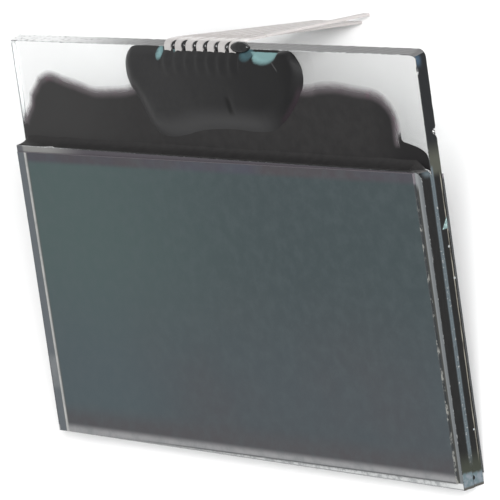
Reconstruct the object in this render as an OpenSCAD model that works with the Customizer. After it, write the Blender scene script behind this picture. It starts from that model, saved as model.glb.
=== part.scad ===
// Bare liquid crystal display panel with its driver chip on the glass and seven clip pins.
// The panel frame is x to the right, y up towards the contact ledge and z out of the face,
// with zero on the back of the rear glass. rest() leans it as it lies on a table, on its
// lower back edge and the tips of its leads.

/* [Glass cell] */
// width of both plates
panel_w = 56; // [40:0.5:90]
// height of the front plate, up to the step
window_h = 26; // [18:0.5:60]
// height of the bare contact ledge above the step
ledge_h = 9.2; // [8:0.1:16]
// thickness of each plate
glass_t = 1.1; // [0.7:0.05:1.5]
// gap between the plates, filled by the crystal layer
cell_gap = 0.05; // [0.04:0.01:0.1]
// how far the broken top edge runs out at the back
break_flare = 0.34; // [0:0.02:0.5]
// sideways misfit of the front plate on the rear one
plate_shift = 0.15; // [0:0.01:0.3]
// snapped corner of the ledge, along the width
corner_w = 0.8; // [0.4:0.1:2.5]
// snapped corner of the ledge, along the height
corner_h = 0.35; // [0.2:0.05:1]
// rounding of the front plate's upper right corner
plate_corner_r = 0.8; // [0.4:0.1:2]
// radius of the shell chips along the back edge
chip_flake_r = 0.6; // [0.4:0.1:1.2]

/* [Seal] */
// width of the seal line
seal_w = 0.6; // [0.4:0.05:1]
// distance of the seal line from the plate edges
seal_inset = 0.55; // [0.3:0.05:0.9]
// length of the filling gap in the left seal line
port_w = 3.2; // [2:0.1:5]
// height of the filling gap above the bottom edge
port_y = 5.7; // [4:0.1:9]
// how far the plug stands out of the plate edge
plug_bulge = 0.1; // [0.05:0.01:0.2]

/* [Polarizers] */
// thickness of each polarizer film
film_t = 0.2; // [0.12:0.01:0.3]
// bare margin at the left of the front film
film_left = 0.35; // [0.3:0.05:1]
// bare margin at the right of the front film
film_right = 0.7; // [0.3:0.05:1.5]
// bare margin above the front film
film_top = 0.45; // [0.35:0.05:1]
// bare margin below the front film
film_foot = 0.32; // [0.3:0.02:1]
// angle at which the front film was laid on
film_turn = 0.5; // [0:0.05:0.5]
// bare margin at the foot of the rear film
rear_foot = 0.9; // [0.75:0.05:1.5]
// bare margin at the sides of the rear film
rear_side = 0.1; // [0:0.05:0.5]
// gap between the rear film and the ledge step line
rear_top_gap = 0.6; // [0.2:0.1:2]

/* [Driver chip] */
// chip length
chip_w = 4.9; // [4:0.1:8]
// chip width
chip_h = 2.1; // [1.5:0.1:2.4]
// chip thickness
chip_t = 0.4; // [0.3:0.02:0.5]
// chip centre, sideways from the panel centre
chip_x = 1.5; // [-3:0.1:3]
// chip centre below the ledge top
chip_drop = 4.35; // [4:0.05:4.8]
// thickness of the bonding film under the chip
bond_t = 0.03; // [0.02:0.01:0.06]
// overhang of the bonding film around the chip
bond_lip = 0.25; // [0.1:0.05:0.4]

/* [Contact tracks] */
// thickness of the conducting tracks
track_t = 0.02; // [0.01:0.005:0.03]
// width of the pads under the pins
pad_w = 1.0; // [0.8:0.05:1.1]
// width of the tracks from pads to chip
track_w = 0.3; // [0.15:0.01:0.4]
// number of tracks from the chip to the cell
fan_count = 18; // [8:2:24]
// spread of those tracks at the step
fan_pitch = 0.62; // [0.5:0.01:0.8]

/* [Clip pins] */
// number of clip pins
pin_count = 7; // [3:1:9]
// distance between pins
pin_pitch = 1.5; // [1.4:0.01:2.54]
// width of the pin strip
strip_w = 0.85; // [0.6:0.05:0.95]
// thickness of the pin strip
strip_t = 0.2; // [0.12:0.01:0.25]
// length of the contact finger on the front of the ledge
finger_len = 2.4; // [2:0.1:2.8]
// length of the gripping tongue behind the ledge
tongue_len = 1.4; // [1:0.1:2.4]
// width of the gripping tongue
tongue_w = 0.36; // [0.25:0.01:0.45]
// radius of the bend over the glass edge, at the strip middle
bend_r = 0.5; // [0.4:0.02:0.7]
// reach of the leads behind the panel
lead_reach = 14.2; // [8:0.1:20]
// distance between lead tips, drawn together by handling
tip_pitch = 1.08; // [1.05:0.01:1.5]
// sag of the leads out of square
lead_droop = 5.2; // [0:0.1:8]
// sag of the last lead, bent less than the others
last_droop = 2.4; // [0:0.1:5]

/* [Black coats] */
// width of the thick resin over pins and chip
resin_w = 24.1; // [22:0.1:30]
// reach of the resin below the ledge top
resin_drop = 7.35; // [7:0.05:7.6]
// sideways offset of the resin from the panel centre
resin_x = 1.45; // [0:0.05:2]
// thickness of the resin
resin_t = 0.78; // [0.7:0.02:1]
// width of the rounded resin border
resin_edge = 0.7; // [0.4:0.05:1]
// half length of the thin window in the resin, beside the last pin
bay_w = 2.2; // [1:0.1:3]
// reach of that window below the glass edge
bay_h = 1.15; // [0.5:0.05:1.5]
// radius of the two upper resin lobes
resin_lobe_r = 3; // [2.6:0.1:3.4]
// thickness of the thin lacquer on the ledge
lacquer_t = 0.08; // [0.05:0.01:0.15]
// height of the lacquer band above the step
lacquer_rise = 5.35; // [4.5:0.05:6]
// radius of the left lacquer lobe
lacquer_lobe_r = 2.9; // [2:0.1:3.2]
// climb of the lacquer on the front plate
lacquer_climb = 1.0; // [0.3:0.05:1.05]

/* [Hidden] */
$fn = 64;
eps = 0.01;
top_y = window_h + ledge_h;
front_z = 2 * glass_t + cell_gap;
step_z = glass_t + cell_gap;
line_y = top_y + break_flare + 0.05 + strip_t / 2;
pad_z = glass_t + track_t;
bend_z = pad_z + strip_t / 2 - bend_r;
bend_y = line_y - bend_r;
mid_x = panel_w / 2;
tip_y = line_y - lead_reach * sin(lead_droop) - strip_t / 2 * cos(lead_droop);
tip_z = lead_reach * cos(lead_droop) - strip_t / 2 * sin(lead_droop);
lean = atan(tip_z / tip_y);
low_y = -front_z * sin(lean);
far_y = line_y - lead_reach * sin(last_droop) + strip_t / 2 * cos(last_droop);
far_z = lead_reach * cos(last_droop) + strip_t / 2 * sin(last_droop);
high_y = far_y * cos(lean) + far_z * sin(lean);
res_l = mid_x + resin_x - resin_w / 2;
res_r = res_l + resin_w;
res_foot = top_y - resin_drop;
toe_r = 2.2;
toe_in = 2.45;
toe_lift = 0.4;
shoulder_drop = 1.9;
bay_x = 4.2;
coat_lip = 0.9;
coat_skin = 0.12;
band_left = 2.2;
band_right = 3.4;
lobe_lift = 1.3;
hump_x = 9.6;
hump_w = 6.2;
hump_h = 4.7;
hump_drop = 3.55;
skirt_h = 1.5;
fan_w = 0.12;
pad_slack = 0.15;
chip_rim = 0.35;
slit = 0.05;
foot_dip = 12;
foot_len = 0.5;
chip_cx = mid_x + chip_x;
chip_cy = top_y - chip_drop;

// Leans the panel on its lead tips and centres it over the origin.
module rest() {
    translate([0, -(low_y + high_y) / 2, 0])
        rotate([lean, 0, 0])
            translate([-mid_x, 0, 0])
                children();
}

function pin_x(i) = mid_x + (i - (pin_count - 1) / 2) * pin_pitch;
function tip_x(i) = mid_x + (i - (pin_count - 1) / 2) * tip_pitch;

// Outline of the rear plate in y and z, with the slanted break at the top.
module rear_profile() {
    polygon([[0, 0], [top_y + break_flare, 0], [top_y, glass_t], [0, glass_t]]);
}

module rear_plate() {
    difference() {
        rotate([90, 0, 90])
            linear_extrude(panel_w)
                rear_profile();
        translate([panel_w, top_y + break_flare + eps, -eps])
            linear_extrude(glass_t + 2 * eps)
                polygon([[-corner_w, 0], [eps, 0], [eps, -corner_h - break_flare]]);
    }
}

// Ball that bites a shell chip out of the right edge, on its back or front rim.
module flake(y, z, turn) {
    translate([panel_w, y, z])
        rotate([0, turn, 0])
            translate([chip_flake_r * 0.75, 0, 0])
                sphere(r = chip_flake_r);
}

module rear_glass() {
    rest()
        color([0.78, 0.9, 0.88, 0.4])
        difference() {
            rear_plate();
            flake(top_y * 0.82, 0, 45);
            flake(top_y * 0.6, 0, 45);
            flake(top_y * 0.945, glass_t, -45);
        }
}

module front_plate() {
    translate([plate_shift, 0, step_z])
        difference() {
            cube([panel_w, window_h, glass_t]);
            translate([panel_w - plate_corner_r, window_h - plate_corner_r, -eps])
                difference() {
                    cube([plate_corner_r + eps, plate_corner_r + eps, glass_t + 2 * eps]);
                    translate([0, 0, -eps])
                        cylinder(r = plate_corner_r, h = glass_t + 4 * eps);
                }
        }
}

module front_glass() {
    rest()
        color([0.78, 0.9, 0.88, 0.4])
        front_plate();
}

// Inner rectangle at a distance from the edges that both plates share.
module inner_box(inset, h) {
    translate([plate_shift + inset, inset, glass_t])
        cube([panel_w - plate_shift - 2 * inset, window_h - 2 * inset, h]);
}

module port_gap(h) {
    translate([plate_shift + seal_inset - eps, port_y - port_w / 2, glass_t])
        cube([seal_w + 2 * eps, port_w, h]);
}

module seal_ring() {
    rest()
        color([0.62, 0.66, 0.7])
        difference() {
            inner_box(seal_inset, cell_gap);
            translate([0, 0, -eps])
                inner_box(seal_inset + seal_w, cell_gap + 2 * eps);
            translate([0, 0, -eps])
                port_gap(cell_gap + 2 * eps);
        }
}

module liquid_crystal() {
    rest()
        color([0.3, 0.37, 0.38, 0.6])
        inner_box(seal_inset + seal_w, cell_gap);
}

// Cured bead that closes the filling gap and stands a little out of the left edge.
module fill_port_plug() {
    gap_x = plate_shift + seal_inset + seal_w;
    rest()
        color([0.8, 0.78, 0.68, 0.7]) {
        translate([0, port_y - port_w / 2, glass_t])
            cube([gap_x, port_w, cell_gap]);
        difference() {
            translate([-plug_bulge, port_y - port_w / 2, glass_t * 0.6])
                cube([plug_bulge + plate_shift, port_w, glass_t * 0.85]);
            rear_plate();
            front_plate();
            translate([0, port_y - port_w, glass_t])
                cube([gap_x, port_w * 2, cell_gap]);
        }
    }
}

module front_polarizer() {
    film_w = panel_w - film_left - film_right;
    film_h = window_h - film_foot - film_top;
    rest()
        color([0.3, 0.36, 0.37])
        translate([plate_shift + film_left + film_w / 2, film_foot + film_h / 2, front_z])
            rotate([0, 0, film_turn])
                translate([-film_w / 2, -film_h / 2, 0])
                    cube([film_w, film_h, film_t]);
}

module rear_polarizer() {
    rest()
        color([0.36, 0.36, 0.38])
        translate([rear_side, rear_foot, -film_t])
            cube([panel_w - 2 * rear_side, window_h - rear_foot - rear_top_gap, film_t]);
}

module chip_block() {
    translate([chip_cx - chip_w / 2, chip_cy - chip_h / 2, pad_z + bond_t])
        cube([chip_w, chip_h, chip_t]);
}

module driver_chip() {
    rest()
        color([0.22, 0.22, 0.24])
        chip_block();
}

module bond_block() {
    translate([chip_cx - chip_w / 2 - bond_lip, chip_cy - chip_h / 2 - bond_lip, pad_z])
        cube([chip_w + 2 * bond_lip, chip_h + 2 * bond_lip, bond_t]);
}

module chip_bond_film() {
    rest()
        color([0.75, 0.68, 0.5])
        bond_block();
}

// One straight track between two points, as a flat bar of even width along x.
module track(xa, ya, xb, yb, w) {
    translate([0, 0, glass_t])
        linear_extrude(track_t)
            polygon([[xa - w / 2, ya], [xa + w / 2, ya], [xb + w / 2, yb], [xb - w / 2, yb]]);
}

module track_set() {
    pad_end = top_y - finger_len - pad_slack;
    chip_top = chip_cy + chip_h / 2 - chip_rim;
    chip_low = chip_cy - chip_h / 2 + chip_rim;
    in_pitch = (chip_w - 0.5) / (pin_count - 1);
    out_pitch = (chip_w - 0.3) / (fan_count - 1);
    for (i = [0:pin_count - 1]) {
        track(pin_x(i), top_y - 0.1, pin_x(i), pad_end, pad_w);
        track(pin_x(i), pad_end, chip_cx + (i - (pin_count - 1) / 2) * in_pitch, chip_top, track_w);
    }
    for (k = [0:fan_count - 1]) {
        s = k - (fan_count - 1) / 2;
        track(chip_cx + s * out_pitch, chip_low, mid_x + s * fan_pitch, window_h + track_w, fan_w);
        track(mid_x + s * fan_pitch, window_h + track_w, mid_x + s * fan_pitch, window_h - seal_inset, fan_w);
    }
}

module contact_tracks() {
    rest()
        color([0.7, 0.75, 0.72])
        track_set();
}

// Outline of the thin lacquer: a band over the step, a lobe at each side and a low skirt.
module lacquer_outline() {
    lobe_y = window_h + lacquer_rise + lobe_lift - lacquer_lobe_r;
    intersection() {
        translate([0, window_h])
            square([panel_w, ledge_h]);
        offset(r = -1.2)
            offset(r = 2)
                offset(r = -0.8)
                    union() {
                        translate([band_left, window_h - skirt_h])
                            square([panel_w - band_left - band_right, lacquer_rise + skirt_h]);
                        translate([band_left + lacquer_lobe_r, lobe_y])
                            circle(r = lacquer_lobe_r);
                        translate([panel_w - hump_x, window_h + lacquer_rise - hump_drop])
                            scale([hump_w, hump_h])
                                circle(r = 1);
                        translate([-skirt_h, window_h - skirt_h])
                            square([panel_w + 2 * skirt_h, 2 * skirt_h]);
                    }
    }
}

module lacquer_coat() {
    difference() {
        translate([0, 0, glass_t])
            linear_extrude(lacquer_t)
                lacquer_outline();
        track_set();
        bond_block();
        chip_block();
    }
    translate([plate_shift, window_h, glass_t + lacquer_t])
        cube([panel_w - plate_shift - plate_corner_r, lacquer_t, cell_gap + lacquer_climb]);
}

module ledge_lacquer() {
    rest()
        color([0.16, 0.15, 0.16])
        lacquer_coat();
}

// One lobe of the resin: discs that draw in as they rise, for the rounded border.
module resin_lobe(x, y, r) {
    levels = 4;
    for (k = [0:levels]) {
        tilt = k * 90 / levels;
        translate([x, y, glass_t + resin_t * sin(tilt) * 0.98])
            cylinder(r = r - resin_edge * (1 - cos(tilt)), h = resin_t * 0.02, $fn = 32);
    }
}

// Domed body of the resin over its four lobes, straight where it meets the glass edge.
module resin_dome() {
    intersection() {
        hull() {
            resin_lobe(res_l + resin_lobe_r, top_y - shoulder_drop, resin_lobe_r);
            resin_lobe(res_r - resin_lobe_r, top_y - shoulder_drop, resin_lobe_r);
            resin_lobe(res_l + toe_in + toe_r, res_foot + toe_r, toe_r);
            resin_lobe(res_r - toe_in - toe_r, res_foot + toe_r + toe_lift, toe_r);
        }
        translate([res_l - 1, res_foot - 1, glass_t])
            cube([resin_w + 2, resin_drop + 1, resin_t + 1]);
    }
}

// Window of thin resin at the glass edge, beside the last pin.
module resin_bay() {
    translate([pin_x(pin_count - 1) + bay_x, top_y, glass_t + lacquer_t])
        scale([bay_w, bay_h, 1])
            cylinder(r = 1, h = resin_t + 1);
}

// Thin resin drawn over the broken glass edge between the pins.
module edge_coat() {
    slope = break_flare / glass_t;
    depth = glass_t * 0.6;
    x0 = pin_x(0) - coat_lip;
    translate([x0, 0, 0])
        rotate([90, 0, 90])
            linear_extrude(pin_x(pin_count - 1) + coat_lip - x0)
                polygon([
                    [top_y, glass_t],
                    [top_y + slope * depth, glass_t - depth],
                    [top_y + slope * depth + coat_skin, glass_t - depth],
                    [top_y + 1.6 * coat_skin, glass_t + coat_skin],
                    [top_y, glass_t + 2.5 * coat_skin]]);
}

module chip_resin() {
    rest()
        color([0.1, 0.1, 0.105])
            difference() {
                union() {
                    difference() {
                        resin_dome();
                        resin_bay();
                    }
                    edge_coat();
                }
                for (i = [0:pin_count - 1])
                    translate([pin_x(i) - strip_w / 2, top_y - finger_len - 0.05, pad_z - eps])
                        cube([strip_w, finger_len + 1.2, strip_t + 0.1]);
                chip_block();
                bond_block();
                translate([0, 0, glass_t])
                    linear_extrude(lacquer_t)
                        lacquer_outline();
                track_set();
            }
}

// Lead seen from above as a slim bar drawn towards its neighbours at the tip.
module lead_bar(i) {
    dx = tip_x(i) - pin_x(i);
    rotate([90, 0, 0])
        translate([0, 0, -strip_t / 2])
            linear_extrude(strip_t)
                difference() {
                    polygon([
                        [-strip_w / 2, 0],
                        [strip_w / 2, 0],
                        [dx + strip_w / 2, -lead_reach],
                        [dx - strip_w / 2, -lead_reach]]);
                    translate([-tongue_w / 2 - slit, -strip_t - tongue_len - break_flare - track_w])
                        square([tongue_w + 2 * slit, tongue_len + break_flare]);
                }
}

// One clip pin: contact finger, bend over the edge, gripping tongue and lead.
module clip_pin(i) {
    droop = i == pin_count - 1 ? last_droop : lead_droop;
    translate([pin_x(i), 0, 0]) {
        translate([-strip_w / 2, top_y - finger_len + foot_len, pad_z])
            cube([strip_w, bend_y - top_y + finger_len - foot_len, strip_t]);
        translate([-strip_w / 2, top_y - finger_len + foot_len, pad_z])
            rotate([-foot_dip, 0, 0])
                translate([0, -foot_len, 0])
                    cube([strip_w, foot_len, strip_t]);
        translate([-strip_w / 2, bend_y, bend_z])
            rotate([90, 0, 90])
                rotate_extrude(angle = 90)
                    translate([bend_r - strip_t / 2, 0])
                        square([strip_t, strip_w]);
        translate([-strip_w / 2, line_y - strip_t / 2, -strip_t / 2])
            cube([strip_w, strip_t, bend_z + strip_t / 2]);
        translate([0, line_y, 0])
            rotate([-droop, 0, 0])
                lead_bar(i);
        translate([-tongue_w / 2, top_y - tongue_len, -strip_t])
            cube([tongue_w, line_y - top_y + tongue_len, strip_t]);
    }
}

module pin(i) {
    if (i < pin_count)
        rest()
            color([0.82, 0.8, 0.78])
                clip_pin(i);
}

rear_glass();
front_glass();
seal_ring();
liquid_crystal();
fill_port_plug();
front_polarizer();
rear_polarizer();
driver_chip();
chip_bond_film();
contact_tracks();
ledge_lacquer();
chip_resin();
pin(0);  // pin_1
pin(1);  // pin_2
pin(2);  // pin_3
pin(3);  // pin_4
pin(4);  // pin_5
pin(5);  // pin_6
pin(6);  // pin_7
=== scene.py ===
import math

import bmesh
import bpy
import numpy as np
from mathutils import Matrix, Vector
from mathutils.geometry import delaunay_2d_cdt


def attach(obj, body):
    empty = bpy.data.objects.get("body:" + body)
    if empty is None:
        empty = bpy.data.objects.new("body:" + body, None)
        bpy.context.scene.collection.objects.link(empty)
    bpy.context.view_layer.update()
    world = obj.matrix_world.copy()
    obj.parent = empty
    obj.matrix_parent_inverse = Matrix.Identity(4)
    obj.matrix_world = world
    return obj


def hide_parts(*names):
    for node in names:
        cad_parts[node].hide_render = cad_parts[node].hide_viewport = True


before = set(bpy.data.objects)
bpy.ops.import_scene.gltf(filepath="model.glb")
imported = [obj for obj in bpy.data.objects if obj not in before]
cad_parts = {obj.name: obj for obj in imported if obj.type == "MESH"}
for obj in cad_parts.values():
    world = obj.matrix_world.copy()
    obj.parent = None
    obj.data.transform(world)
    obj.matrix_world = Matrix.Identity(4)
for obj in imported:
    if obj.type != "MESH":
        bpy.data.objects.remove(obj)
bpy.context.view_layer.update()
root = bpy.context.scene.collection


# The photograph's view of the panel. The camera keeps its place before the panel's own face,
# and the panel leans back on its lower back edge and its lead tips, so the camera looks down.
LEAN = math.radians(22.391)
MID_X = 28.0
SHIFT_Y = 18.545
LENS = 338.7
EYE = (341.66, 87.69, 231.0)
AIM = (32.27, 18.36, 2.25)
ROLL = math.radians(-8.185)


def lay(x, y, z):
    """A place on the panel in mm (across it, up it, out of its face), as it lies on the floor, in m."""
    return Vector((
        x - MID_X,
        y * math.cos(LEAN) - z * math.sin(LEAN) - SHIFT_Y,
        y * math.sin(LEAN) + z * math.cos(LEAN))) / 1000


def look(eye, aim, roll):
    """Sets the camera at eye, towards aim, with the panel's upward line turned by roll."""
    ahead = (lay(*aim) - lay(*eye)).normalized()
    upward = (lay(0, 1, 0) - lay(0, 0, 0)).normalized()
    side = ahead.cross(upward).normalized()
    over = side.cross(ahead)
    right = side * math.cos(roll) + over * math.sin(roll)
    top = over * math.cos(roll) - side * math.sin(roll)
    cam = bpy.data.objects.new("camera", bpy.data.cameras.new("camera"))
    turn = cam.matrix_world.to_3x3()
    turn.col[0], turn.col[1], turn.col[2] = right, top, -ahead
    cam.matrix_world = turn.to_4x4()
    cam.location = lay(*eye)
    cam.data.lens = LENS
    cam.data.sensor_width = 36.0
    cam.data.clip_start = 0.01
    root.objects.link(cam)
    bpy.context.scene.camera = cam


look(EYE, AIM, ROLL)


# Floor and light: a plain white bench top, an even white room and one broad lamp on the camera's
# side, so the clear glass reads white and the shadows fall behind the panel.
FLOOR_HALF = 4.0
ROOM_LIGHT = 0.5
LAMP_SIZE = 0.45
LAMP_POWER = 13.0
LAMP_PLACE = (0.72, 0.02, 0.58)


def node(tree, kind, inputs=None, **settings):
    """Adds a shader node with its settings, and joins or sets its inputs."""
    made = tree.nodes.new(kind)
    for key, value in settings.items():
        setattr(made, key, value)
    for key, value in (inputs or {}).items():
        if isinstance(value, bpy.types.NodeSocket):
            tree.links.new(value, made.inputs[key])
        else:
            made.inputs[key].default_value = value
    return made


def new_material(name):
    """An empty node material and its tree."""
    mat = bpy.data.materials.new(name)
    mat.use_nodes = True
    mat.node_tree.nodes.clear()
    return mat, mat.node_tree


def set_surface(tree, shader):
    """Makes shader what the material shows."""
    node(tree, "ShaderNodeOutputMaterial", {"Surface": shader})


def paint(tree, inputs):
    """Gives the material one plain surface with these inputs."""
    set_surface(tree, node(tree, "ShaderNodeBsdfPrincipled", inputs).outputs[0])


def panel_place(tree):
    """The surface point's place on the panel in mm, from Object coordinates."""
    spot = node(tree, "ShaderNodeTexCoord").outputs["Object"]
    return node(tree, "ShaderNodeMapping", {
        "Vector": spot,
        "Location": (MID_X, SHIFT_Y * math.cos(LEAN), -SHIFT_Y * math.sin(LEAN)),
        "Rotation": (-LEAN, 0.0, 0.0),
        "Scale": (1000.0, 1000.0, 1000.0)}).outputs["Vector"]


def panel_material(name):
    """An empty node material, its tree, and the surface point's place on the panel."""
    mat, tree = new_material(name)
    return mat, tree, panel_place(tree)


def stretched(tree, place, sx, sy, sz):
    """The place with each of its three measures multiplied, for a grain longer one way."""
    return node(tree, "ShaderNodeVectorMath", {0: place, 1: (sx, sy, sz)}, operation="MULTIPLY").outputs[0]


def noise(tree, place, scale, detail=3.0, rough=0.5):
    """Smooth random values from 0 to 1, scale waves to the mm."""
    return node(tree, "ShaderNodeTexNoise", {
        "Vector": place, "Scale": scale, "Detail": detail, "Roughness": rough}).outputs["Fac"]


def rise(tree, value, low, high, start=0.0, end=1.0):
    """A smooth step of value between low and high, which may run either way."""
    return node(tree, "ShaderNodeMapRange", {
        "Value": value, "From Min": low, "From Max": high, "To Min": start, "To Max": end},
        interpolation_type="SMOOTHSTEP").outputs["Result"]


def sums(tree, kind, a, b):
    """One sum on two values."""
    return node(tree, "ShaderNodeMath", {0: a, 1: b}, operation=kind).outputs[0]


def times(tree, a, b):
    """One value times another; of two masks, where both hold."""
    return sums(tree, "MULTIPLY", a, b)


def band(tree, value, limits):
    """1 within a band of value: limits say where it starts, is full, begins to fade and ends."""
    start, full, fading, end = limits
    return times(tree, rise(tree, value, start, full), rise(tree, value, end, fading))


def measures(tree, place):
    """The three measures of a place: across the panel, up it, and out of its face."""
    return node(tree, "ShaderNodeSeparateXYZ", {0: place}).outputs[:]


def tint(tree, share, a, b):
    """Colour a going over to colour b by share."""
    mixed = node(tree, "ShaderNodeMix", {"Factor": share, "A": a, "B": b}, data_type="RGBA")
    return mixed.outputs["Result"]


def bump(tree, height, depth_mm, strength=1.0):
    """Surface relief from a height of 0 to 1, depth_mm deep."""
    return node(tree, "ShaderNodeBump", {
        "Height": height, "Distance": depth_mm / 1000, "Strength": strength}).outputs["Normal"]


def apart(tree, a, b, at_a, at_b):
    """The squared distance between (a, b) and a fixed spot."""
    da, db = sums(tree, "SUBTRACT", a, at_a), sums(tree, "SUBTRACT", b, at_b)
    return sums(tree, "ADD", times(tree, da, da), times(tree, db, db))


floor_mesh = bpy.data.meshes.new("floor")
floor_mesh.from_pydata(
    [(sx * FLOOR_HALF, sy * FLOOR_HALF, 0) for sx, sy in ((-1, -1), (1, -1), (1, 1), (-1, 1))],
    [], [(0, 1, 2, 3)])
floor = bpy.data.objects.new("floor", floor_mesh)
root.objects.link(floor)
floor_mat, floor_tree = new_material("bench_white")
floor_grain = noise(floor_tree, node(floor_tree, "ShaderNodeTexCoord").outputs["Object"], 6.0)
paint(floor_tree, {
    "Base Color": tint(floor_tree, floor_grain, (0.90, 0.90, 0.90, 1), (0.92, 0.92, 0.92, 1)),
    "Roughness": 0.9})
floor_mesh.materials.append(floor_mat)

room = bpy.data.worlds.new("room")
bpy.context.scene.world = room
room.use_nodes = True
sky = room.node_tree.nodes["Background"].inputs
sky["Color"].default_value = (1.0, 1.0, 1.0, 1.0)
sky["Strength"].default_value = ROOM_LIGHT

lamp = bpy.data.objects.new("soft_lamp", bpy.data.lights.new("soft_lamp", "AREA"))
lamp.data.size = LAMP_SIZE
lamp.data.energy = LAMP_POWER
lamp.location = LAMP_PLACE
lamp.rotation_euler = (-lamp.location).to_track_quat("-Z", "Y").to_euler()
root.objects.link(lamp)
bpy.context.scene.view_settings.view_transform = "Standard"


# Rear glass: 1.1 mm soda-lime plate, scribed and snapped to size, so its walls are fresh breaks
# with small shell chips along the arrises. One ledge corner is worn round.
PANEL_W = 56.0
GLASS_T = 1.1
WINDOW_H = 26.0
LEDGE_H = 9.2
TOP_Y = WINDOW_H + LEDGE_H
FLARE = 0.34
CORNER_W = 0.8
CORNER_H = 0.35
STEP_MM = 0.25
ARRIS = 0.04
CHIP_COUNT = 46
RIPPLE = 0.012
# On the right break, out of the panel's face: the seal's line, a bright thread and the plates' joint.
SEAM_Z = (0.80, 0.95, 1.26, 1.44)
THREAD_Z = (0.15, 0.19, 0.23, 0.28)
JOINT_Z = (1.0, 1.05, 1.09, 1.14)
# On the same break, up the panel and out of it: a small hole painted as a dot of shade, specks with their
# size, a splinter with a painted glint, and a shell chip.
HOLE = (0.78, 1.04)
SPECKS = ((19.6, 0.30, 0.12, (0.22, 0.23, 0.23, 1)), (17.0, 0.16, 0.12, (0.26, 0.27, 0.27, 1)),
          (4.6, 0.30, 0.09, (0.30, 0.33, 0.34, 1)))
SPLINTER_GLINT = (28.9, 0.12, 0.30, (0.75, 0.76, 0.76, 1))
SHELL_FOOT = 21.0
SHELL_SLANT = 0.6
NOOK_Y = (34.0, 34.7)
LEDGE_DULL = (28.4, 26.7)


def new_piece(name, points, faces, mats, kinds=None, smooth=False, values=None):
    """A closed mesh piece from places on the panel in mm, with a material number for each face."""
    mesh = bpy.data.meshes.new(name)
    mesh.from_pydata([lay(*p) for p in points], [], faces)
    for mat in mats:
        mesh.materials.append(mat)
    if kinds is not None:
        mesh.polygons.foreach_set("material_index", kinds)
    mesh.polygons.foreach_set("use_smooth", [smooth] * len(mesh.polygons))
    for key, spread in (values or {}).items():
        mesh.attributes.new(key, "FLOAT", "POINT").data.foreach_set("value", spread)
    shell = bmesh.new()
    shell.from_mesh(mesh)
    bmesh.ops.recalc_face_normals(shell, faces=shell.faces)
    shell.to_mesh(mesh)
    shell.free()
    piece = bpy.data.objects.new(name, mesh)
    root.objects.link(piece)
    return piece


def walk(corners, step):
    """Points about step apart along a closed outline of straight runs, and their inward normals."""
    spots, inward = [], []
    for (ax, ay), (bx, by) in zip(corners, corners[1:] + corners[:1]):
        run = math.hypot(bx - ax, by - ay)
        count = max(1, round(run / step))
        for k in range(count):
            spots.append((ax + (bx - ax) * k / count, ay + (by - ay) * k / count))
            inward.append((-(by - ay) / run, (bx - ax) / run))
    spots, inward = np.array(spots), np.array(inward)
    inward = inward + np.roll(inward, 1, 0)
    return spots, inward / np.linalg.norm(inward, axis=1)[:, None]


def nicks(spots, rng, count, size, extra):
    """How far an arris is chipped back at each point: count small chips, and the extra ones given."""
    back = np.full(len(spots), ARRIS)
    chips = [(spots[rng.integers(len(spots))], rng.uniform(0.2, 0.6), size * rng.uniform(0.3, 1.0))
             for _ in range(count)] + extra
    for place, reach, depth in chips:
        away = np.linalg.norm(spots - np.array(place), axis=1) / reach
        back = np.maximum(back, depth * np.sqrt(np.clip(1 - away ** 2, 0, None)))
    return back


def snapped_plate(name, corners, z0, z1, seed, mats, low_chips=(), high_chips=(), flare=0.0, top=1e9,
                  small=0.07):
    """A glass plate whose walls are rippled breaks between two chipped arrises."""
    rng = np.random.default_rng(seed)
    spots, inward = walk(corners, STEP_MM)
    low = nicks(spots, rng, CHIP_COUNT, small, list(low_chips))
    high = nicks(spots, rng, CHIP_COUNT, small, list(high_chips))
    count, tall = len(spots), z1 - z0
    along = np.arange(count)
    loops, flat = [], np.zeros(count)
    for part, (z, back) in enumerate((
            (z0 + flat, low), (z0 + low, flat), (z0 + tall * 0.35 + flat, flat),
            (z0 + tall * 0.65 + flat, flat), (z1 - high, flat), (z1 + flat, high))):
        ripple = RIPPLE * (np.sin(along * 0.9 + part * 1.7) * np.sin(along * 0.173 + part) + 1)
        ripple = ripple if 0 < part < 5 else 0
        at = spots + inward * (back + ripple)[:, None]
        lift = flare * (1 - (z - z0) / tall) * np.interp(spots[:, 1], [top - CORNER_H, top], [0, 1])
        loops.append(np.column_stack([at[:, 0], at[:, 1] + lift, z]))
    points = np.concatenate(loops)
    faces, kinds = [tuple(range(count))[::-1], tuple(range(5 * count, 6 * count))], [0, 0]
    facing = np.where(inward[:, 0] < -0.6, 1, np.where(inward[:, 1] < -0.4, 2, 3))
    for part in range(5):
        for k in range(count):
            a, b = part * count + k, part * count + (k + 1) % count
            faces.append((a, b, b + count, a + count))
            kinds.append(4 if part in (0, 4) else int(facing[k]))
    return new_piece(name, points, faces, mats, kinds)


def clear_glass(name, body, rough):
    """A material, its tree and place, and the shader for clear glass that bends light."""
    mat, tree, place = panel_material(name)
    haze = noise(tree, stretched(tree, place, 0.4, 0.4, 2.0), 0.8)
    # Painted shade: the glass tint darkens to 0.8 of its colour from 12 to 44 mm across, for the shade over
    # the right of the ledge.
    side = rise(tree, measures(tree, place)[0], 12.0, 44.0)
    hazy, shaded = (tuple(c * share for c in body[:3]) + (1.0,) for share in (0.97, 0.80))
    glass = node(tree, "ShaderNodeBsdfPrincipled", {
        "Base Color": tint(tree, side, tint(tree, haze, body, hazy), shaded),
        "Roughness": rough, "IOR": 1.52, "Transmission Weight": 1.0}).outputs[0]
    return mat, tree, place, glass


def lamp_through(tree, glass, pass_colour):
    """Glass for sight, and a clear sheet for rays on their way to a lamp."""
    sheet = node(tree, "ShaderNodeBsdfTransparent", {"Color": pass_colour}).outputs[0]
    shade = node(tree, "ShaderNodeLightPath").outputs["Is Shadow Ray"]
    mixed = node(tree, "ShaderNodeMixShader", {0: shade, 1: glass, 2: sheet})
    set_surface(tree, mixed.outputs[0])


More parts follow.
